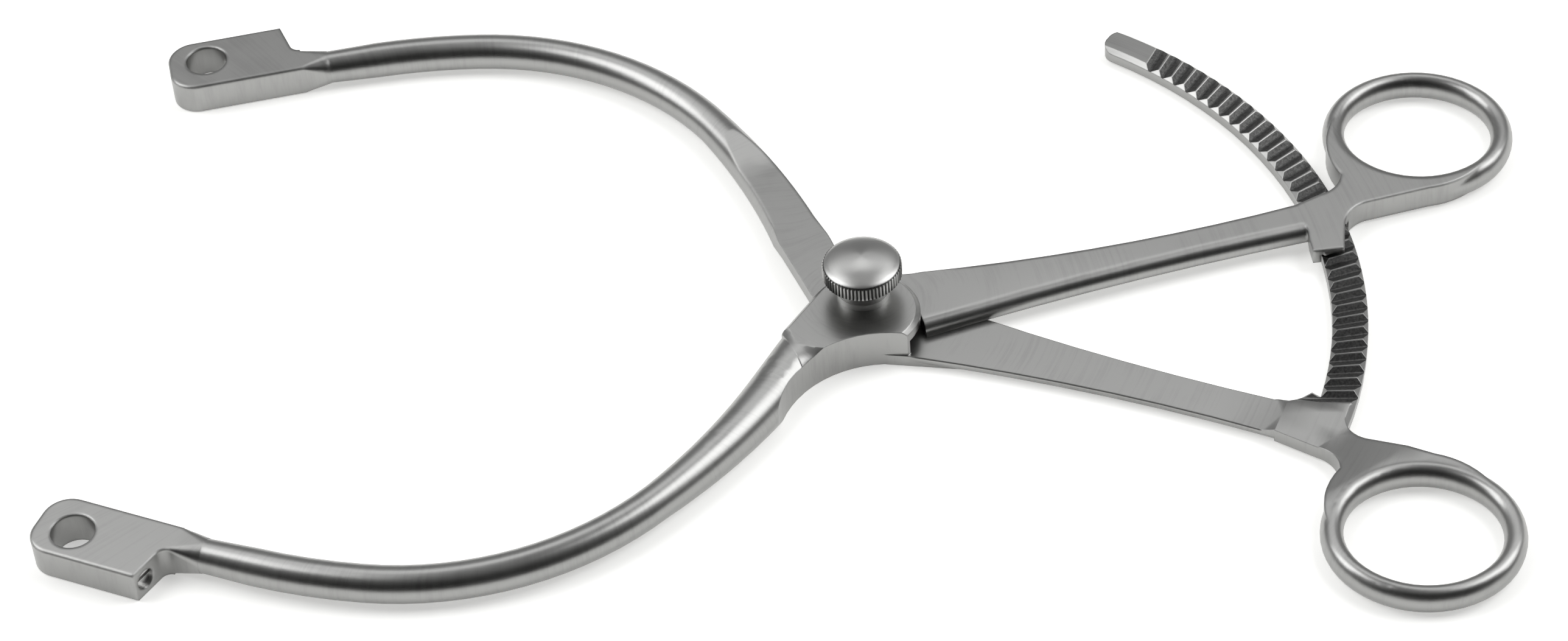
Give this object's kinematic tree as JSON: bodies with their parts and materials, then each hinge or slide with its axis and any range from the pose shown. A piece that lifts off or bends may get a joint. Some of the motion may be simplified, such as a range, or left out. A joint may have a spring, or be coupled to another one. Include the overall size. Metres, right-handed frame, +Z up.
{
  "type": "self retaining retractor",
  "caption": "Surgical retractor with two curved arms on a thumb screw, a toothed ratchet bar, ring handles and end blocks that take blades.",
  "frame": {"origin": "on the thumb screw's axis, at the level that the instrument rests on", "axes": "+X towards the finger rings, midway between them; +Y towards the flat arm; +Z up, out of the knob"},
  "size_m": [0.2614, 0.1543, 0.0173],
  "materials": {
    "forged_steel": "satin brushed stainless steel, with blackened floors between the ratchet teeth",
    "turned_steel": "turned and lightly polished stainless steel",
    "matte_steel": "matt stainless steel",
    "screw_steel": "bright stainless steel",
    "spring_steel": "drawn spring wire",
    "ball_steel": "polished hardened ball"
  },
  "bodies": {
    "slotted_member": {"slotted_arm": "forged_steel", "collar": "matte_steel", "set_screw_slotted": "screw_steel", "detent_spring_slotted": "spring_steel"},
    "flat_member": {"flat_arm": "forged_steel", "set_screw_flat": "screw_steel", "detent_spring_flat": "spring_steel"},
    "knob": {"thumb_screw": "turned_steel"},
    "ball_flat": {"detent_ball_flat": "ball_steel"},
    "ball_slotted": {"detent_ball_slotted": "ball_steel"}
  },
  "joints": [
    {"name": "arms_turn", "type": "hinge", "parent": "slotted_member", "child": "flat_member", "pos_m": [0, 0, 0.004], "axis": [0, 0, 1], "range_deg": [-18, 36]},
    {"name": "knob_turn", "type": "hinge", "parent": "slotted_member", "child": "knob", "pos_m": [0, 0, 0.01], "axis": [0, 0, 1], "range_deg": [0, 720]},
    {"name": "detent_flat", "type": "slide", "parent": "flat_member", "child": "ball_flat", "axis": [0.8741, 0.4857, 0], "range_m": [0, 0.0002], "stiffness_N_per_m": 1500, "springref_m": -0.0006, "deforming": ["detent_spring_flat"]},
    {"name": "detent_slotted", "type": "slide", "parent": "slotted_member", "child": "ball_slotted", "axis": [0.8741, -0.4857, 0], "range_m": [0, 0.0002], "stiffness_N_per_m": 1500, "springref_m": -0.0006, "deforming": ["detent_spring_slotted"]}
  ]
}
